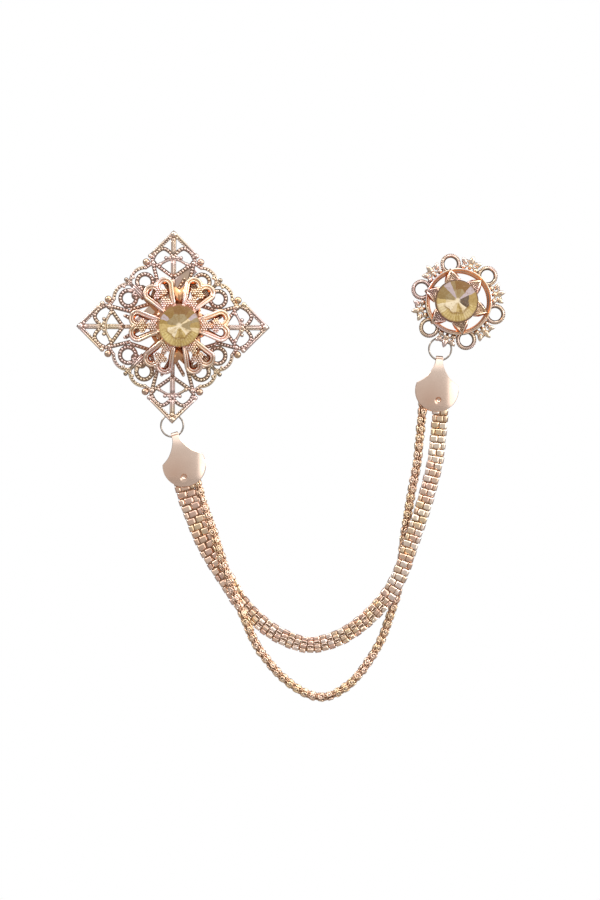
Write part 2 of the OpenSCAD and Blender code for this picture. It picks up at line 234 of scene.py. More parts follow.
# Paths and solids: a curve through every point, as the source draws it
def smooth(points, steps=6):
    points = [Vector(p) for p in points]
    out = []
    for i in range(len(points) - 1):
        a, b = points[max(i - 1, 0)], points[i]
        c, d = points[i + 1], points[min(i + 2, len(points) - 1)]
        for j in range(steps):
            t = j / steps
            out.append((2 * b + (c - a) * t + (2 * a - 5 * b + 4 * c - d) * t * t
                        + (3 * b - a - 3 * c + d) * t * t * t) / 2)
    out.append(points[-1])
    return out


def arc(middle, radius, start, end, steps):
    out = []
    for i in range(steps + 1):
        angle = math.radians(start + (end - start) * i / steps)
        out.append(Vector((middle[0] + radius * math.cos(angle), middle[1] + radius * math.sin(angle))))
    return out


# Points at even distances along a path, each with the direction of the path there
def evenly(points, pitch, closed=False):
    points = [Vector(p) for p in points]
    if closed:
        points = points + [points[0]]
    lengths = [0.0]
    for a, b in zip(points, points[1:]):
        lengths.append(lengths[-1] + (b - a).length)
    total = lengths[-1]
    count = max(1, round(total / pitch))
    out = []
    k = 0
    for i in range(count if closed else count + 1):
        at = min(total * i / count, total)
        while k < len(points) - 2 and lengths[k + 1] < at:
            k += 1
        span = max(lengths[k + 1] - lengths[k], 1e-9)
        part = (at - lengths[k]) / span
        out.append((points[k].lerp(points[k + 1], part), (points[k + 1] - points[k]).normalized()))
    return out


def unitBall(divisions):
    made = bmesh.new()
    bmesh.ops.create_icosphere(made, subdivisions=divisions, radius=1)
    points = [v.co.copy() for v in made.verts]
    faces = [tuple(v.index for v in f.verts) for f in made.faces]
    made.free()
    return points, faces


balls = {fine: unitBall(fine) for fine in (1, 2, 3)}


# Points and faces of one piece, in millimetres, until build makes its mesh
class Shape:
    def __init__(self):
        self.points = []
        self.faces = []
        self.smooth = []
        self.finishes = []

    # smooth is one setting for all the faces, or a list of one for each
    def add(self, points, faces, smooth=True, finish=0):
        first = len(self.points)
        self.points.extend(points)
        self.faces.extend(tuple(first + i for i in face) for face in faces)
        self.smooth.extend(smooth if isinstance(smooth, list) else [smooth] * len(faces))
        self.finishes.extend([finish] * len(faces))

    # A ball, or an egg with radii along, across and up; narrow thins its ends, as a leaf's
    def ball(self, place, radii, along=Vector((1, 0, 0)), up=forward, finish=0, fine=2, narrow=0.0):
        if not isinstance(radii, tuple):
            radii = (radii,) * 3
        along = along.normalized()
        across = up.cross(along).normalized()
        points, faces = balls[fine]
        self.add([place + along * (p.x * radii[0]) + across * (p.y * radii[1] * (1 - narrow * p.x * p.x))
                  + up * (p.z * radii[2]) for p in points], faces, True, finish)

    # A wire with a round or oval section: width across, height towards up
    def wire(self, path, width, height, up=forward, sides=8, closed=False, finish=0):
        count = len(path)
        points = []
        for i, place in enumerate(path):
            before = path[(i - 1) % count] if closed else path[max(i - 1, 0)]
            after = path[(i + 1) % count] if closed else path[min(i + 1, count - 1)]
            along = (after - before).normalized()
            across = along.cross(up).normalized()
            lift = across.cross(along).normalized()
            for k in range(sides):
                angle = 2 * math.pi * (k + 0.5) / sides
                aside, high = width * math.cos(angle), height * math.sin(angle)
                points.append(place + across * aside + lift * high)
        faces = []
        for i in range(count if closed else count - 1):
            j = (i + 1) % count
            for k in range(sides):
                m = (k + 1) % sides
                faces.append((i * sides + k, i * sides + m, j * sides + m, j * sides + k))
        if not closed:
            faces.append(tuple(range(sides))[::-1])
            faces.append(tuple((count - 1) * sides + k for k in range(sides)))
        self.add(points, faces, True, finish)

    # A tile with straight sides and a softly domed top
    def tile(self, corner, length, width, low, high, dome, finish):
        grid = (-1, -0.5, 0.5, 1)
        points = []
        for a in grid:
            for b in grid:
                lift = dome if abs(a * b) < 0.5 else 0
                points.append(corner(a * length, b * width, high + lift))
        points += [corner(a * length, b * width, low) for a, b in ((-1, -1), (-1, 1), (1, 1), (1, -1))]
        top = [(4 * i + j, 4 * i + j + 1, 4 * i + j + 5, 4 * i + j + 4)
               for i in range(3) for j in range(3)]
        sides = [(0, 1, 2, 3, 17, 16), (3, 7, 11, 15, 18, 17), (15, 14, 13, 12, 19, 18),
                 (12, 8, 4, 0, 16, 19), (16, 17, 18, 19)]
        self.add(points, top + sides, [True] * len(top) + [False] * len(sides), finish)

    # A plate with a bevelled top: corner(a, b, h) gives a point from along, across and height
    def plate(self, corner, length, width, high, bevel, finish):
        rings = [(length, width, 0), (length, width, high - bevel), (length - bevel, width - bevel, high)]
        points = []
        for a, b, h in rings:
            points += [corner(a, b, h), corner(-a, b, h), corner(-a, -b, h), corner(a, -b, h)]
        faces = [(8, 9, 10, 11), (3, 2, 1, 0)]
        for r in (0, 4):
            for k in range(4):
                m = (k + 1) % 4
                faces.append((r + k, r + m, r + 4 + m, r + 4 + k))
        self.add(points, faces, False, finish)

    def build(self, name, materials, node=None):
        mesh = bpy.data.meshes.new(name)
        mesh.from_pydata([p * metres for p in self.points], [], self.faces)
        mesh.polygons.foreach_set("use_smooth", self.smooth)
        mesh.polygons.foreach_set("material_index", self.finishes)
        for material in materials:
            mesh.materials.append(material)
        tidy = bmesh.new()
        tidy.from_mesh(mesh)
        bmesh.ops.recalc_face_normals(tidy, faces=tidy.faces)
        tidy.to_mesh(mesh)
        tidy.free()
        piece = bpy.data.objects.new(name, mesh)
        bpy.context.collection.objects.link(piece)
        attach(piece, "root")
        if node:
            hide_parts(node)
        print(name, len(mesh.polygons), "faces")


# Stands a drawing up with its front to the viewer, as the source does; angle turns a point of it first
def standing(middle, back, turn=0.0):
    def place(point, height=0.0, angle=0.0):
        c = math.cos(math.radians(turn + angle))
        s = math.sin(math.radians(turn + angle))
        u, v = point[0], point[1]
        return Vector((middle[0] + u * c - v * s, -back - height, middle[1] + u * s + v * c))

    return place


def spread(reach):
    return seeded.uniform(-reach, reach)


# Finishes
plated = {
    # name: lit colour, colour of the painted shade in recesses, roughness
    "khakiGold": ((0.76, 0.6, 0.5), (0.15, 0.075, 0.04), 0.1),
    "roseGold": ((0.9, 0.64, 0.5), (0.4, 0.14, 0.05), 0.08),
    "plateGold": ((1.0, 0.79, 0.66), (0.7, 0.42, 0.3), 0.1),
    "chainGold": ((0.9, 0.66, 0.47), (0.42, 0.22, 0.13), 0.11),
}
# the plating turns from pink to yellow over a few millimetres, with duller clouds and fine scratches
plating = {
    "patch": (130, 1), "cloud": (420, 3), "scratch": (2600, 2),  # scale and detail of the noise
    "pink": (1.0, 0.97, 1.08), "yellow": (1.0, 1.02, 0.86), "patches": (0.4, 0.6),
    "clear": 0.35, "clouding": 1.2, "dull": 0.8, "cloudRoughness": 0.12, "scratchDepth": 0.00003,
    # how dark the painted shade in recesses gets, how far off the back that begins, and how much a pink
    # patch weakens the painted tint of reflection and shade
    "shade": 0.9, "backEdge": (0.02, 0.2), "warmPatches": 0.45,
}


# depth holds distances in front of the pins: the flat back, where the painted shade of the recesses is
# darkest and where it ends
# the tint round a place holds the place, the distances over which it fades, and the tint; on the brooches
# it is painted reflection, the orange of the rose gold mirrored round the flower and inside the wall, and
# on the end plates a browner painted shade
# dimple is a place with the radius and depth of a bowl
def platedSurface(name, depth=None, paintedReflectionAndShade=None, lit=None, scratched=0.12, patchy=1.0, dimple=None):
    light, recessShade, roughness = plated[name]
    light = lit or light
    surface = Surface(name)
    place = surface.place()
    x, y, z = surface.axes(place)
    cloud, patch, scratch = [surface.noise(place, *plating[kind]) for kind in ("cloud", "patch", "scratch")]
    pink, yellow = [tuple(c * t for c, t in zip(light, plating[tint])) for tint in ("pink", "yellow")]
    dull = tuple(c * plating["dull"] for c in light)
    first, last = plating["patches"]
    colour = surface.mix(patch.rise(first, last) * patchy, surface.mix(patchy, light, pink), yellow)
    colour = surface.mix((cloud - plating["clear"]) * plating["clouding"], colour, dull)
    if depth:
        # painted shade: darker towards the back of the piece, but not on the flat back itself
        back, low, high = depth
        forth = 0 - y
        offBack = forth.rise(*[back + step for step in plating["backEdge"]])
        colour = surface.mix((1 - forth.rise(low, high)) * offBack * plating["shade"], colour, recessShade)
    # painted reflection and painted shade: a tint that fades with distance from a place, weaker in pink
    # patches
    if paintedReflectionAndShade:
        middle, reach, tint = paintedReflectionAndShade
        near = 1 - distanceFrom(middle, x, z).rise(*reach)
        pinkness = patch.rise(last, first) * patchy
        colour = surface.mix(near * (1 - pinkness * plating["warmPatches"]), colour, tint)
    sockets = {"Base_Color": colour, "Metallic": 1.0,
               "Roughness": roughness + cloud * plating["cloudRoughness"]}
    if dimple:
        # a shallow bowl round the solid's own dimple
        middle, radius, deep = dimple
        bowl = (1 - distanceFrom(middle, x, z).rise(0, radius) ** 2) ** 2 * deep
        return surface.finish(bump=(0 - bowl, 1.0, metres), **sockets)
    return surface.finish(bump=(scratch, scratched, plating["scratchDepth"]), **sockets)


def nodeFinish(node, material):
    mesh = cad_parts[node].data
    mesh.materials.clear()
    mesh.materials.append(material)
    for face in mesh.polygons:
        face.material_index = 0


# A copy of a solid's surface with its round faces smooth and its rims softened; in metres and degrees
skinLimits = {"weld": 0.000002, "bevel": 0.00014, "rimAngle": 60, "sharpAngle": 30}


def smoothSkin(node, name, material):
    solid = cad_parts[node]
    mesh = solid.data.copy()
    mesh.materials.clear()
    mesh.materials.append(material)
    welded = bmesh.new()
    welded.from_mesh(mesh)
    bmesh.ops.remove_doubles(welded, verts=welded.verts, dist=skinLimits["weld"])
    bmesh.ops.transform(welded, matrix=solid.matrix_world, verts=welded.verts)
    rimAngle = math.radians(skinLimits["rimAngle"])
    rims = [e for e in welded.edges if e.is_manifold and e.calc_face_angle() > rimAngle]
    bmesh.ops.bevel(welded, geom=rims, offset=skinLimits["bevel"], segments=1, profile=0.5, affect="EDGES")
    welded.to_mesh(mesh)
    welded.free()
    flatNormals = mesh.attributes.get("custom_normal")
    if flatNormals:
        mesh.attributes.remove(flatNormals)
    for face in mesh.polygons:
        face.material_index = 0
        face.use_smooth = True
    mesh.set_sharp_from_angle(angle=math.radians(skinLimits["sharpAngle"]))
    skin = bpy.data.objects.new(name, mesh)
    bpy.context.collection.objects.link(skin)
    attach(skin, "root")
    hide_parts(node)


largeMiddle = (2.84, -8.44)
smallMiddle = (86.3, -1.1)
# the square's casting: a darker copy of the plating, painted shade under the granules and wires that
# deepens towards the back, with painted orange reflection round the flower
squareCastShaded = platedSurface("khakiGold", depth=(2.8, 3.5, 4.2), lit=(0.46, 0.34, 0.27),
                           paintedReflectionAndShade=(largeMiddle, (7, 15), (0.6, 0.22, 0.09)))
# its granules and wires, with painted orange reflection near the flower
squareTop = platedSurface("khakiGold", paintedReflectionAndShade=(largeMiddle, (7, 15), (0.85, 0.46, 0.29)))
roseTop = platedSurface("roseGold", lit=(0.9, 0.68, 0.56), scratched=0.03)
# the flower's casting: a darker, oranger copy of the rose gold, painted shade that deepens towards the back
roseShaded = platedSurface("roseGold", depth=(2.8, 4.0, 6.4), lit=(0.66, 0.32, 0.17))
paleTop = platedSurface("roseGold", lit=(0.92, 0.74, 0.64))
# the small brooch's casting: a dark copy of the plating, painted shade that deepens towards the back, with
# painted orange reflection inside the wall
laceCastShaded = platedSurface("khakiGold", depth=(2.8, 3.3, 4.3), lit=(0.22, 0.14, 0.1),
                         paintedReflectionAndShade=(smallMiddle, (9.3, 9.6), (1.0, 0.42, 0.18)))
laceTop = platedSurface("khakiGold", lit=(0.8, 0.62, 0.52))
starFill = platedSurface("khakiGold", lit=(0.86, 0.7, 0.62))
# the star's plate: a dark copy of the rose gold, painted shade under the granules
starBaseShaded = platedSurface("roseGold", lit=(0.34, 0.2, 0.14))
# an orange copy of the rose gold for inner walls and sides: painted reflection
reflectedOrange = platedSurface("roseGold", lit=(0.75, 0.31, 0.12))
# the webs between the petals: a darker orange copy of the rose gold, painted shade and reflection
webShaded = platedSurface("roseGold", lit=(0.66, 0.35, 0.2))
ballTop = platedSurface("khakiGold", lit=(0.62, 0.42, 0.3), scratched=0.03)
# where each end plate is browner with painted shade, and where its dimple is
plateMarks = [((3.4, -51.5), (6.1, -52.6)), ((77.6, -30.2), (80.4, -30.1))]
plateTops = [platedSurface("plateGold", patchy=0.0, paintedReflectionAndShade=(brown, (0.0, 10.0), (0.84, 0.57, 0.43)),
                           dimple=(dimple, 1.3, 0.3)) for brown, dimple in plateMarks]
chainTop = platedSurface("chainGold", patchy=0.8)
chainPale = platedSurface("chainGold", lit=(0.97, 0.79, 0.65), patchy=0.5)
chainCopper = platedSurface("chainGold", lit=(0.84, 0.57, 0.43), patchy=0.5)
# a dark copy for the chains' cores and the fill of the necks' loops: painted shade between the links
chainShade = platedSurface("chainGold", lit=(0.33, 0.18, 0.1), patchy=0.0)
# a darker copy for the flat chain's side plates: painted shade
chainSideShaded = platedSurface("chainGold", lit=(0.6, 0.45, 0.4), patchy=0.0)
# a darker copy for the round chain's neck loops: painted shade between the knobs
chainNeckShaded = platedSurface("chainGold", lit=(0.66, 0.42, 0.28), patchy=0.4)
pinTop = platedSurface("khakiGold", lit=(0.78, 0.56, 0.48), scratched=0.03)


def wireSurface():
    surface = Surface("ringSteel")
    drawn = surface.noise(surface.place(), 900, 2)
    return surface.finish(bump=(drawn, 0.1, plating["scratchDepth"]), Base_Color=(0.4, 0.34, 0.29),
                          Metallic=1.0, Roughness=0.16 + drawn * 0.1)


ringWire = wireSurface()
print("finishes made")

# The square brooch: the same drawing as in the source, one eighth of it repeated round
square = {
    "middle": largeMiddle, "back": 2.8, "turn": -0.5,
    # radius and pitch of the granules on the bands, on the scallops and beside the frame
    "onBands": (0.41, 0.94), "onScallops": (0.36, 0.86), "besideFrame": (0.3, 0.72),
    "granuleHeight": 1.12, "granuleWidth": 1.12, "uneven": (0.92, 1.06),
    "granulated": [
        [(20.9, 0.6), (22.3, 1.6), (22.9, 2.9), (22.4, 4.2), (21.2, 5.4), (19.5, 6.2)],
        [(14.9, 0.6), (18.0, 4.9)],
        [(17.8, 5.8), (12.6, 4.5)],
        [(12.2, 5.0), (7.4, 6.5)],
        [(18.2, 6.7), (17.3, 8.0)],
        [(14.1, 3.2), (9.6, 0.8)],
    ],
    "eye": ((13.1, 8.3), 2.34), "scallop": ((13.1, 8.3), 4.05, 0, 90),
    "frameRow": [(26.3, 0.6), (20.9, 6.0)],
    # small balls: radius, place
    "balls": [(0.5, (20.2, 2.2)), (0.55, (18.3, 3.9)), (0.62, (13.75, 13.75)), (0.5, (26.0, 1.0)),
              (0.98, (27.05, 0.0)), (0.6, (25.6, 0.0)), (0.62, (20.3, 0.0)), (0.7, (18.6, 5.9)),
              (0.5, (20.2, 1.1)), (0.5, (12.6, 10.5)), (0.5, (14.4, 11.7)), (0.45, (11.6, 9.5)),
              (0.72, (20.7, 6.75)), (0.5, (21.4, 5.5))],
    "ballHeight": 1.1,
    # the large smooth balls: radius, place, height
    "largeBall": (1.07, (18.95, 7.95), 0.8),
    # wires: radius, height, points
    "wires": [
        (0.3, 1.25, [(27.85, 0.0), (21.2, 6.65)]),
        (0.34, 1.0, [(19.8, 0), (19.5, 1.6), (18.7, 3.3), (18.0, 4.4)]),
        (0.3, 1.0, [(18.6, 6), (18.9, 7.2)]),
    ],
    "wireFlatness": 0.9, "wireStep": 2.0,
    # rim outside a scallop: radius, angles, height, half width, half height
    "scallopRim": (4.5, -3, 93, 0.8, 0.26, 0.3),
    # ribs of three wires: from, to, distance between the wires, height, angle
    "ribs": [(21.2, 25.6, 0.46, 1.2, 0), (14.9, 19.5, 0.46, 1.2, 0), (7.4, 14.4, 0.36, 0.95, 0),
             (11.9, 16.6, 0.58, 1.1, 45), (17.2, 19.0, 0.3, 1.1, 45)],
    "ribRadii": (0.4, 0.56, 0.4),  # of the three wires, as parts of the distance between them
}


def squareDetails(s):
    place = standing(s["middle"], s["back"], s["turn"])
    granules = Shape()
    wires = Shape()
    for quarter in range(4):
        for side in (1, -1):
            def at(point, height=0.0):
                return place((point[0], side * point[1]), height, 90 * quarter)

            def granulesAlong(path, sizes, closed=False):
                size, pitch = sizes
                for point, heading in evenly(path, pitch, closed):
                    along = at(point + heading) - at(point)
                    radius = size * seeded.uniform(*s["uneven"])
                    oval = (radius, radius * s["granuleWidth"], radius)
                    granules.ball(at(point, s["granuleHeight"]), oval, along)

            for path in s["granulated"]:
                granulesAlong(smooth(path) if len(path) > 2 else path, s["onBands"])
            granulesAlong(arc(*s["eye"], 0, 360, 40)[:-1], s["onBands"], True)
            granulesAlong(arc(*s["scallop"], 24), s["onScallops"])
            granulesAlong(s["frameRow"], s["besideFrame"])
            for radius, point in s["balls"]:
                # a ball on the middle line is drawn once
                if side == 1 or point[1] > 0:
                    granules.ball(at(point, s["ballHeight"]), radius)
            radius, point, height = s["largeBall"]
            wires.ball(at(point, height), radius, finish=1, fine=3)
            for radius, height, path in s["wires"]:
                line = smooth(path, 5)
                if len(path) == 2:
                    line = [p for p, heading in evenly(path, s["wireStep"])]
                wires.wire([at(p, height) for p in line], radius, radius * s["wireFlatness"])
            radius, start, end, height, width, thickness = s["scallopRim"]
            rim = arc(s["eye"][0], radius, start, end, 20)
            wires.wire([at(p, height) for p in rim], width, thickness)
        for start, end, pitch, height, turn in s["ribs"]:
            for v, part in zip((-pitch, 0, pitch), s["ribRadii"]):
                away = [start + (end - start) * i / 4 for i in range(5)]
                path = [place((u, v), height, 90 * quarter + turn) for u in away]
                wires.wire(path, part * pitch, part * pitch)
    granules.build("squareGranules", [squareTop])
    wires.build("squareWires", [squareTop, ballTop])


squareDetails(square)
nodeFinish("square_filigree", squareCastShaded)

# The flower: petals of double wire with granulated stems, on the dome of the source
flower = {
    "middle": (largeMiddle[0] + 1.9, largeMiddle[1] + 0.3), "back": 4.2,
    "domeRadius": 40, "thickness": 0.9, "reach": 14.8,
    # half a petal's outline: foot, bulge, and the lobe's middle and radius with the angle where it starts
    "foot": (5.6, 2.1), "bulge": (9.0, 3.6), "lobe": ((12.1, 2.1), 2.7), "lobeStart": 100,
    "footInset": 0.6,  # an inset line is inset less at the foot
    # wires: distance inside the outline, radius, angle on the lobe where it ends
    "wires": [(0.44, 0.44, -66), (1.2, 0.27, -150)],
    # the inner wall, in painted orange reflection: distance of each edge inside the outline and below the
    # top
    "wall": [(1.3, 0.05), (1.9, 0.75)], "wallEnd": -20,
    # the source's knots, covered with granules: radius, place
    "knots": [(0.95, (12, 0)), (0.95, (10.7, 1.05)), (0.95, (10.7, -1.05)),
              (0.8, (8.4, 0)), (0.8, (7.3, 0.85)), (0.8, (7.3, -0.85))],
    "knotMargin": 0.1, "knotHeight": 0.4, "knotRoundness": 0.12,
    # rows of granules along the stem: where they start, how many in a row, and rows on each side
    "rowStart": 6.6, "rowCount": 12, "sideRows": 3, "rowPitch": 0.6,
    "granule": 0.34, "granulePitch": 0.68, "granuleHeight": 0.1, "uneven": (0.92, 1.05),
    # webs between the petals, in painted shade and orange reflection: angle, outer radius
    "webs": [(30, 8.3), (90, 13.6), (150, 8.3), (210, 8.3), (270, 12.8), (330, 8.3)],
    "webFoot": (5.6, 0.9),  # inner radius and half width there
    "webSpread": 0.3, "webNotch": 0.4, "webDepth": 1.5, "webSlope": 0.5, "webThickness": 0.3,
}


def flowerDetails(f):
    place = standing(f["middle"], f["back"])
    low = math.sqrt(f["domeRadius"] ** 2 - f["reach"] ** 2)
    lobeMiddle, lobeRadius = f["lobe"]

    def dome(point):
        away = min(Vector(point[:2]).length, f["reach"])
        return math.sqrt(f["domeRadius"] ** 2 - away ** 2) - low + f["thickness"]

    def petalLine(inset, end):
        foot = Vector((f["foot"][0], f["foot"][1] - inset * f["footInset"]))
        bulge = Vector((f["bulge"][0], f["bulge"][1] - inset))
        return [foot, bulge] + arc(lobeMiddle, lobeRadius - inset, f["lobeStart"], end, 14)

    wires = Shape()
    granules = Shape()
    for petal in range(6):
        turn = 60 * petal

        # the line on one half of the petal, sunk below its top by depth
        def onPetal(line, side, depth=0.0):
            return [place((p[0], side * p[1]), dome(p) - depth, turn) for p in line]

        for inset, radius, end in f["wires"]:
            for side in (1, -1):
                wires.wire(onPetal(smooth(petalLine(inset, end), 2), side), radius, radius)
        for side in (1, -1):
            top, foot = [onPetal(petalLine(inset, f["wallEnd"]), side, depth) for inset, depth in f["wall"]]
            count = len(top)
            faces = [(i, i + 1, count + i + 1, count + i) for i in range(count - 1)]
            wires.add(top + foot, faces, finish=1)
        for row in range(-f["sideRows"], f["sideRows"] + 1):
            for column in range(f["rowCount"]):
                along = f["rowStart"] + (column + 0.5 * (row % 2)) * f["granulePitch"]
                point = Vector((along, row * f["rowPitch"]))
                inside = any((point - Vector(knot)).length < radius + f["knotMargin"]
                             for radius, knot in f["knots"])
                # the middle row is whole, and the others only cover the knots
                if inside or row == 0:
                    raised = (f["knotHeight"] - f["knotRoundness"] * point.y ** 2) * inside
                    middle = place(point, dome(point) + f["granuleHeight"] + raised, turn)
                    granules.ball(middle, f["granule"] * seeded.uniform(*f["uneven"]))
    webs = Shape()
    near, narrow = f["webFoot"]
    for turn, far in f["webs"]:
        # lowest along its middle, with a notch in its outer end
        broad = narrow + (far - near) * f["webSpread"]
        notch = f["webNotch"] * (far - near)
        outline = [(near, narrow), (near, 0), (near, -narrow)]
        outline += [(far - notch * (1 - abs(part)), part * broad) for part in (-1, -0.5, 0, 0.5, 1)]
        front = [place(p, dome(p) - f["webDepth"] + f["webSlope"] * abs(p[1]), turn) for p in outline]
        behind = [p - forward * f["webThickness"] for p in front]
        count = len(outline)
        faces = [(0, 1, 5, 6, 7), (1, 2, 3, 4, 5), (8, 15, 14, 13, 9), (9, 13, 12, 11, 10)]
        rims = [(k, k + count, (k + 1) % count + count, (k + 1) % count) for k in range(count)]
        webs.add(front + behind, faces + rims)
    wires.build("flowerWires", [roseTop, reflectedOrange])
    granules.build("flowerGranules", [paleTop])
    webs.build("flowerWebs", [webShaded])


flowerDetails(flower)
nodeFinish("flower_filigree", roseShaded)

# The small brooch: lace loops, leaf clusters, wall rim and star
lace = {
    "middle": smallMiddle, "back": 2.8, "top": 1.3,
    "loop": (11.33, 2.4), "loopTurn": 41.5, "clusterTurn": 11.5,
    # granules on a loop: distance outside its line, last angle, pitch, radius, depth below the top
    "loopGranules": (0.34, 128, 0.5, 0.25, 0.1),
    # the wire beside them: distance inside the line, last angle, half width, half height
    "loopWire": (0.02, 140, 0.3, 0.32),
    # leaves: middle, half sizes along, across and up, lean
    "leaves": [((12.6, 0.0), (1.5, 0.85, 0.6), 0), ((12.0, 2.1), (1.25, 0.74, 0.55), 50),
               ((10.8, 0.0), (0.9, 0.7, 0.6), 0)],
    "leafHeight": 0.05, "leafNarrow": 0.55,
    # eyelets: place, radius, the wire's half width and half height
    "eyelet": ((11.4, 1.35), 0.86, 0.24, 0.26),
    "scroll": ((10.2, 1.9), 0.72),
    # lines round the wall, painted orange reflection above and pale below: radius, height, half width,
    # finish, angles
    "rims": [(9.5, 3.12, 0.25, 1, 0, 360), (9.1, 3.02, 0.15, 2, -30, 190), (9.1, 3.02, 0.15, 1, 190, 330)],
    "rimThickness": 0.2,
}


def laceDetails(s):
    place = standing(s["middle"], s["back"])
    top = s["top"]
    wires = Shape()
    granules = Shape()
    for k in range(6):
        turn = s["loopTurn"] + 60 * k
        away, loopRadius = s["loop"]
        outside, last, pitch, radius, depth = s["loopGranules"]
        for point, heading in evenly(arc((away, 0), loopRadius + outside, -last, last, 40), pitch):
            granules.ball(place(point, top - depth, turn), radius, fine=1)
        inside, last, width, height = s["loopWire"]
        path = arc((away, 0), loopRadius - inside, -last, last, 30)
        wires.wire([place(p, top, turn) for p in path], width, height)
        turn = s["clusterTurn"] + 60 * k
        for (u, v), radii, lean in s["leaves"]:
            for side in ((1, -1) if v else (1,)):
                middle = place((u, side * v), top + s["leafHeight"], turn)
                along = place((1, 0), 0.0, turn + side * lean) - place((0, 0))
                wires.ball(middle, radii, along, narrow=s["leafNarrow"])
        for side in (1, -1):
            (u, v), radius, width, height = s["eyelet"]
            path = arc((u, side * v), radius, 0, 360, 18)[:-1]
            wires.wire([place(p, top, turn) for p in path], width, height, closed=True)
            (u, v), radius = s["scroll"]
            wires.ball(place((u, side * v), top, turn), radius)
    for radius, height, width, finish, start, end in s["rims"]:
        path = arc((0, 0), radius, start, end, 90)
        wires.wire([place(p, height) for p in path], width, s["rimThickness"], finish=finish)
    wires.build("laceWires", [laceTop, paleTop, reflectedOrange])
    granules.build("laceGranules", [laceTop])


star = {
    "middle": (smallMiddle[0] - 0.7, smallMiddle[1] - 0.06), "back": 6.0, "turn": 40.4,
    "tip": 9.7, "foot": (6.07, 2.33), "tilt": 10, "top": 0.55,
    # granules in triangles that follow the point's sides: foot, tip, half width of the foot
    "triangles": [(6.22, 8.46, 1.4635), (6.545, 7.4525, 0.629)], "granule": 0.25, "granulePitch": 0.5,
    # the bright raised border: from, to, height, half width, half height
    "border": ((5.97, 2.18), (9.3, 0.0), 0.25, 0.27, 0.22),
    # the side of the plate below it, in painted orange reflection: places along the side, and how far its
    # foot stands out there
    "skirt": [(0, 0.15), (0.35, 0.5), (1, 0.25)], "skirtTop": 0.1, "skirtFoot": -1.1, "skirtStart": 5.97,
    # the short wire across the foot: distance, half length, height, radius
    "sill": (6.17, 1.83, 0.2, 0.2),
}


def starDetails(s):
    place = standing(s["middle"], s["back"])
    granules = Shape()
    wires = Shape()
    slope = math.tan(math.radians(s["tilt"]))
    foot, half = s["foot"]
    tip = s["tip"]
    for k in range(6):
        turn = s["turn"] + 60 * k

        def top(point, lift=0.0):
            return place(point, s["top"] + lift + (tip - point[0]) * slope, turn)

        for near, far, wide in s["triangles"]:
            lines = [[(near, wide), (far, 0)], [(near, -wide), (far, 0)], [(near, -wide), (near, wide)]]
            for line in lines:
                for point, heading in evenly(line, s["granulePitch"]):
                    granules.ball(top(point), s["granule"], fine=1)
        for side in (1, -1):
            start, end, height, width, thickness = s["border"]
            path = [top((start[0], side * start[1]), height), top(end, height)]
            wires.wire(path, width, thickness)
            outward = Vector((half, side * (tip - foot))).normalized()
            corner = Vector((s["skirtStart"], side * half))
            edge = [corner.lerp(Vector((tip, 0.0)), part) for part, reach in s["skirt"]]
            low = [top(p + outward * reach, s["skirtFoot"]) for p, (part, reach) in zip(edge, s["skirt"])]
            high = [top(p, s["skirtTop"]) for p in edge]
            wires.add(high + low, [(0, 1, 4, 3), (1, 2, 5, 4)], False, 1)
        away, length, height, radius = s["sill"]
        wires.wire([top((away, v), height) for v in (-length, length)], radius, radius)
    granules.build("starGranules", [starFill])
    wires.build("starWires", [roseTop, reflectedOrange])


laceDetails(lace)
starDetails(star)
nodeFinish("round_filigree", laceCastShaded)
nodeFinish("star_plate", starBaseShaded)


# Stones: each facet is painted with its own tint, painted reflection as if from the foil behind it, and a
# ring of amber, painted shade, lies under the edge
pearl = (0.88, 0.74, 0.52)
cream = (0.74, 0.58, 0.35)
lemon = (0.76, 0.6, 0.24)
gold = (0.6, 0.43, 0.17)
honey = (0.4, 0.26, 0.08)
amber = (0.28, 0.155, 0.04)
umber = (0.22, 0.1, 0.02)
olive = (0.29, 0.19, 0.075)
taupe = (0.33, 0.24, 0.12)
lilac = (0.48, 0.38, 0.39)
shade = (0.11, 0.07, 0.045)
stones = {
    # painted reflections: tints of the inner and of the outer facets, each with the angle where it starts
    "large_stone": {
        "middle": (largeMiddle[0] + 2.15, largeMiddle[1]),
        "inner": {0: taupe, 24: cream, 38: taupe, 84: olive, 98: taupe, 172: gold, 188: pearl, 204: cream,
                  232: pearl, 248: gold, 264: honey, 292: gold, 306: pearl, 322: cream, 338: taupe},
        "outer": {0: honey, 12: taupe, 24: lilac, 38: amber, 56: umber, 112: amber, 142: lilac, 158: honey,
                  172: gold, 202: lemon, 232: gold, 248: honey, 264: amber, 280: honey, 325: gold,
                  338: cream, 352: honey},
    },
    "small_stone": {
        "middle": star["middle"],
        "inner": {0: shade, 24: lilac, 47: taupe, 70: olive, 95: taupe, 107: lilac, 130: taupe, 172: cream,
                  188: pearl, 236: cream, 264: gold, 280: honey, 294: cream, 306: pearl, 322: shade},
        "outer": {0: honey, 24: lilac, 47: umber, 96: olive, 107: lilac, 130: olive, 172: gold, 188: pearl,
                  218: gold, 262: honey, 278: gold, 294: cream, 322: gold, 345: honey},
    },
}
facets = {
    # the edges of the tints waver a little, as mirrored facets do
    "waver": (650, 3), "awayWaver": 0.5, "turnWaver": 0.03, "fleck": (1800, 3),
    # the two rings of facets meet in a zigzag, and the outer one has fine rays in its lower half
    "toothSides": 16, "toothDepth": 0.5, "outerRing": (3.1, 3.25), "raySides": 80,
    "lowerHalf": (-1.8, -0.4),  # heights over which the lower half begins
    # distances from the middle where these fade: the pale point, a painted highlight; the painted shade
    # past the zigzag; the amber edge, painted shade
    "point": (0.35, 1.0), "shade": (3.2, 3.9), "shadedEdge": (5.5, 5.95),
}


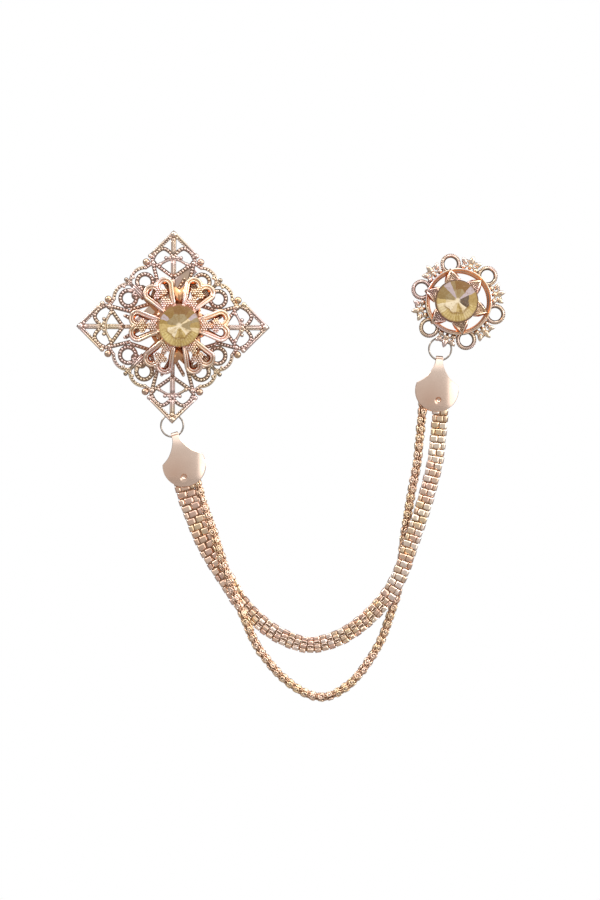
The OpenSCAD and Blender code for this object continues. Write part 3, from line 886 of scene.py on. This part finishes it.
def stoneSurface(name, stone):
    surface = Surface(name)
    place = surface.place()
    x, y, z = surface.axes(place)
    waver = surface.noise(place, *facets["waver"]) - 0.5
    fleck = surface.noise(place, *facets["fleck"])
    middle = stone["middle"]
    right = x - middle[0]
    above = z - middle[1]
    away = distanceFrom(middle, x, z) + waver * facets["awayWaver"]
    angle = above.maths("ARCTAN2", above, right) / (2 * math.pi)
    turn = angle.maths("FRACT", angle + waver * facets["turnWaver"] + 1)

    # rises from 0 to 1 or falls back, so many times all round
    def zigzag(count):
        return turn.maths("PINGPONG", turn * count, 1.0)

    def fan(wedges):
        stops = [(start / 360, tint) for start, tint in wedges.items()]
        return surface.node("ShaderNodeValToRGB", {"stops": stops}, {"Fac": turn})

    shine = (zigzag(facets["raySides"]) * (fleck.rise(0.3, 0.65) + 0.2)).held()
    rays = surface.mix(shine, lemon, amber)
    lower = 1 - above.rise(*facets["lowerHalf"])
    outer = surface.mix(lower * 0.5, fan(stone["outer"]), rays)
    beyond = away - zigzag(facets["toothSides"]) * facets["toothDepth"]
    outer = surface.mix((1 - beyond.rise(*facets["shade"])) * lower * 0.85, outer, umber)
    colour = surface.mix(beyond.rise(*facets["outerRing"]), fan(stone["inner"]), outer)
    # painted glints and darker flecks, a painted highlight at the point and painted shade at the edge
    overlays = [
        (fleck.rise(0.5, 0.7) * (0.1 + lower * 0.3), cream),
        (fleck.rise(0.48, 0.3) * 0.6, amber),
        ((1 - away.rise(*facets["point"])) * 0.9, pearl),
        (away.rise(*facets["shadedEdge"]) * 0.6, amber),
    ]
    for amount, tint in overlays:
        colour = surface.mix(amount, colour, tint)
    # the tint also glows, painted light as if the foil sent light back from every side, so part of it
    # doesn't depend on the facet's slope
    return surface.finish(Base_Color=surface.mix(0.8, colour, (0, 0, 0)), Metallic=0.15, Roughness=0.25,
                          Specular_IOR_Level=0.25, Coat_Weight=0.12, Coat_Roughness=0.03,
                          Emission_Color=colour, Emission_Strength=0.9)


for node, stone in stones.items():
    nodeFinish(node, stoneSurface(node.replace("_s", "S"), stone))

for node in ("large_bezel", "small_bezel"):
    nodeFinish(node, laceTop)
for node in ("large_jump_ring", "small_jump_ring"):
    nodeFinish(node, ringWire)
smoothSkin("left_end_plate", "leftPlate", plateTops[0])
smoothSkin("right_end_plate", "rightPlate", plateTops[1])
smoothSkin("large_pin", "largePin", pinTop)
smoothSkin("small_pin", "smallPin", pinTop)
print("brooches dressed")

# The chains follow the routes of the source: X, Z and distance in front of the pins
flatChain = {
    "route": [
        (5, -51.6, 3.45), (6.1, -55.2, 3.45), (7.35, -59.6, 3.45), (8.7, -63.1, 3.45),
        (10.9, -68.9, 3.45), (13, -73.4, 3.45), (15.3, -77.4, 3.45), (19.5, -84, 3.45),
        (22.8, -89.2, 3.45), (28.3, -94.7, 3.45), (35, -99.1, 3.45), (42.6, -101.4, 3.5),
        (50.1, -99.8, 3.7), (56.2, -96.4, 4.1), (61.8, -91.5, 4.5), (66.3, -86, 4.8),
        (69.6, -79.8, 4.9), (71.8, -73.3, 4.9), (74.1, -66.6, 4.8), (76.9, -58, 4.4),
        (79.5, -47.9, 3.8), (80.3, -41.5, 3.5), (81, -34, 3.45), (81.4, -29.2, 3.45),
    ],
    "rowPitch": 2.0, "rowGap": 0.12, "columnPitch": 1.12, "tilt": 0.16,  # steepest slope of a tile
    # the rows fan out towards the left plate: how much wider, over how many rows, and how far aside
    "fan": 0.33, "fanRows": 24, "fanShift": 0.9,
    "core": (1.95, 0.36),  # half width and half thickness of the dark inside
    # where the chain hangs this steeply its rows look like bricks: middles and half widths, row by row
    "steep": 0.8, "bricks": [[(-1.14, 1.04), (1.14, 1.04)], [(-1.68, 0.5), (0.0, 1.04), (1.68, 0.5)]],
    # a brick's foot, top and dome, and the finishes to draw from where the chain falls and where it rises
    "brick": (0.1, 0.56, 0.1), "fallingTints": (0, 0, 4, 4), "risingTints": (0, 3, 3, 4),
    # tiles elsewhere: half width, foot, top, dome, finishes to draw from
    "tile": (0.54, 0.2, 0.56, 0.1, (0, 0, 3, 4)), "edgeTile": (0.5, 0.1, 0.44, 0.08, (0, 4)),
    # the loop between two tiles: half length, half width, height, wire radius
    "loop": (0.78, 0.4, 0.54, 0.15),
    # side plates: distance from the middle, extra for every second one, half height, thickness, bevel
    "sidePlate": (2.06, 0.16, 0.5, 0.2, 0.08),
}
roundChain = {
    "route": [
        (9.1, -51.8, 3.45), (10.4, -55.5, 3.45), (11.5, -59.6, 3.45), (12.8, -63.1, 3.6),
        (14.9, -68.9, 4.7), (16.4, -73.6, 5.5), (18.1, -79, 5.75), (19.8, -83.7, 5.75),
        (21.7, -88.5, 5.75), (23.8, -93.6, 5.6), (26.9, -100.6, 4.9), (29.6, -104.7, 4.3),
        (34.4, -110.4, 3.7), (40.6, -115, 3.45), (45.9, -116.6, 3.45), (50.2, -115.7, 3.45),
        (54.6, -112.8, 3.4), (58, -109.1, 3.2), (60.9, -105, 3), (63.5, -100.5, 2.8),
        (65.4, -95.8, 2.7), (67, -91, 2.65), (68.5, -86, 2.6), (69.5, -79.4, 2.6),
        (70.3, -71.6, 2.6), (71.5, -63.7, 2.65), (72.7, -56.7, 2.8), (74.3, -48.1, 3.1),
        (74.9, -42.2, 3.3), (75.7, -33.7, 3.45), (76, -29.4, 3.45),
    ],
    "levelPitch": 1.26, "corePitch": 0.9, "coreRadius": 0.7,
    # loops: distance of their middle from the chain's line, half length, half width, wire radius
    "knob": (1.04, 0.72, 0.54, 0.25), "neck": (0.8, 0.56, 0.42, 0.22),
    "loopPoints": 10, "curl": 0.3, "wireHeight": 1.15,
    # how far the loops stray: all of a level and each one in degrees, then its lean and its distance
    "levelTurn": 30, "loopTurn": 8, "lean": 0.6, "strayOut": 0.05,
    # the ball in each loop: size beside the loop's, how far it strays along and around, depth
    "fill": 0.6, "fillAlong": 0.15, "fillAround": 0.12, "fillDepth": 0.02,
}


def chainFrames(route, pitch):
    line = smooth([Vector((x, -d, z)) for x, z, d in route], 12)
    out = []
    for point, along in evenly(line, pitch):
        across = Vector((-along.z, 0, along.x)).normalized()
        up = across.cross(along).normalized()
        if up.y > 0:
            up = -up
        out.append((point, along, across, up))
    return out


def buildFlatChain(c):
    shape = Shape()
    # the core has a section each millimetre, so the number of a section is its distance along the chain
    core = chainFrames(c["route"], 1.0)
    fanLength = c["fanRows"] * c["rowPitch"]
    widths = [1 + c["fan"] * max(0.0, 1 - i / fanLength) for i in range(len(core))]
    breadth, thickness = c["core"]
    section = [(breadth, -thickness), (breadth, thickness), (-breadth, thickness), (-breadth, -thickness)]
    points = [p + across * (a * wide + (wide - 1) * c["fanShift"]) + up * h
              for (p, along, across, up), wide in zip(core, widths) for a, h in section]
    faces = [(i * 4 + k, i * 4 + (k + 1) % 4, i * 4 + 4 + (k + 1) % 4, i * 4 + 4 + k)
             for i in range(len(core) - 1) for k in range(4)]
    # the dark core: painted shade seen between the links
    shape.add(points, faces, False, 1)
    half = c["rowPitch"] / 2 - c["rowGap"]
    # the tiles and loops in these four columns have widths of their own
    columns = [((k - 1.5) * c["columnPitch"], None) for k in range(4)]
    u, v, loopHeight, loopWire = c["loop"]
    loop = [(-u, -v), (u, -v), (u, v), (-u, v)]
    for row, (point, along, across, up) in enumerate(chainFrames(c["route"], c["rowPitch"])[1:-1]):
        wide = widths[min(round((row + 1) * c["rowPitch"]), len(widths) - 1)]
        shift = (wide - 1) * c["fanShift"]
        steep = abs(along.z) > c["steep"]
        for side in (1, -1):
            for k, (offset, broad) in enumerate(c["bricks"][row % 2] if steep else columns):
                middle = offset * wide + shift
                tilt = (spread(1) * c["tilt"], spread(1) * c["tilt"])

                def corner(a, b, h):
                    lifted = h + a * tilt[0] + b * tilt[1]
                    return point + along * a + across * (middle + b * wide) + up * (lifted * side)

                if steep:
                    tints = c["risingTints"] if along.z > 0 else c["fallingTints"]
                    shape.tile(corner, half, broad, *c["brick"], seeded.choice(tints))
                elif (k + row) % 2 == 0 or k in (0, 3):
                    *sizes, tints = c["tile"] if (k + row) % 2 == 0 else c["edgeTile"]
                    shape.tile(corner, half, *sizes, seeded.choice(tints))
                else:
                    path = [corner(a, b, loopHeight) for a, b in loop]
                    shape.wire(path, loopWire, loopWire, up * side, 6, True, 3)
        # the outermost links show their sides, every second one further out, in painted shade
        away, further, height, thickness, bevel = c["sidePlate"]
        for side in (1, -1):
            out = further if (row % 2 == 0) == (side > 0) else 0.0

            def sideCorner(a, b, h):
                return point + along * a + across * (side * (away * wide + out + h) + shift) + up * b

            shape.plate(sideCorner, half, height, thickness, bevel, 2)
    finishes = [chainTop, chainShade, chainSideShaded, chainPale, chainCopper]
    shape.build("flatLinks", finishes, "flat_chain")


def buildRoundChain(c):
    shape = Shape()
    core = [point for point, along, across, up in chainFrames(c["route"], c["corePitch"])]
    # the dark core: painted shade seen between the loops
    shape.wire(core, c["coreRadius"], c["coreRadius"], finish=1)
    for level, (point, along, across, up) in enumerate(chainFrames(c["route"], c["levelPitch"])):
        # a knob of four fat loops, then a neck of four smaller ones turned between them, the neck's loops
        # in painted shade
        neck = level % 2
        reach, length, width, wire = c["neck"] if neck else c["knob"]
        phase = 45 * neck + spread(c["levelTurn"])
        for k in range(4):
            angle = math.radians(90 * k + phase + spread(c["loopTurn"]))
            out = across * math.cos(angle) + up * math.sin(angle)
            around = along.cross(out).normalized()
            lean = spread(c["lean"])
            middle = point + out * (reach + spread(c["strayOut"]))
            ring = []
            for j in range(c["loopPoints"]):
                a = 2 * math.pi * j / c["loopPoints"]
                u, v = length * math.sin(a), width * math.cos(a)
                leaning = along * (u + lean * v) + around * (v - lean * u)
                ring.append(middle + leaning - out * (c["curl"] * v * v))
            shape.wire(ring, wire, wire * c["wireHeight"], out, 6, True, 2 * neck)
            # a pale ball fills each knob's loop as a painted highlight, and a dark ball each neck's loop as
            # painted shade
            inside = (length * c["fill"], width * c["fill"], wire)
            shift = along * spread(c["fillAlong"]) + around * spread(c["fillAround"])
            shape.ball(middle + shift - out * c["fillDepth"], inside, along, out, 1 if neck else 3)
    finishes = [chainTop, chainShade, chainNeckShaded, chainPale]
    shape.build("roundLinks", finishes, "round_chain")


buildFlatChain(flatChain)
buildRoundChain(roundChain)
print("chains linked")


# Floor, in metres
def layFloor(height=-0.17, reach=3.0, front=0.35):
    mesh = bpy.data.meshes.new("floor")
    corners = [(-reach, -front), (reach, -front), (reach, reach), (-reach, reach)]
    mesh.from_pydata([(x, y, height) for x, y in corners], [], [(0, 1, 2, 3)])
    floor = bpy.data.objects.new("floor", mesh)
    surface = Surface("paleFloor")
    # white to the camera, as the studio's sweep is, and greyer in what the metal mirrors
    paper = surface.node("ShaderNodeBsdfDiffuse", None, {"Color": (0.3, 0.3, 0.3, 1)})
    white = surface.node("ShaderNodeEmission", None, {"Color": (1, 1, 1, 1), "Strength": 1.0})
    seen = surface.node("ShaderNodeLightPath", output="Is Camera Ray")
    mixed = surface.node("ShaderNodeMixShader", None, {0: seen, 1: paper, 2: white})
    mesh.materials.append(surface.out(mixed))
    bpy.context.collection.objects.link(floor)


layFloor()

print("dressed")
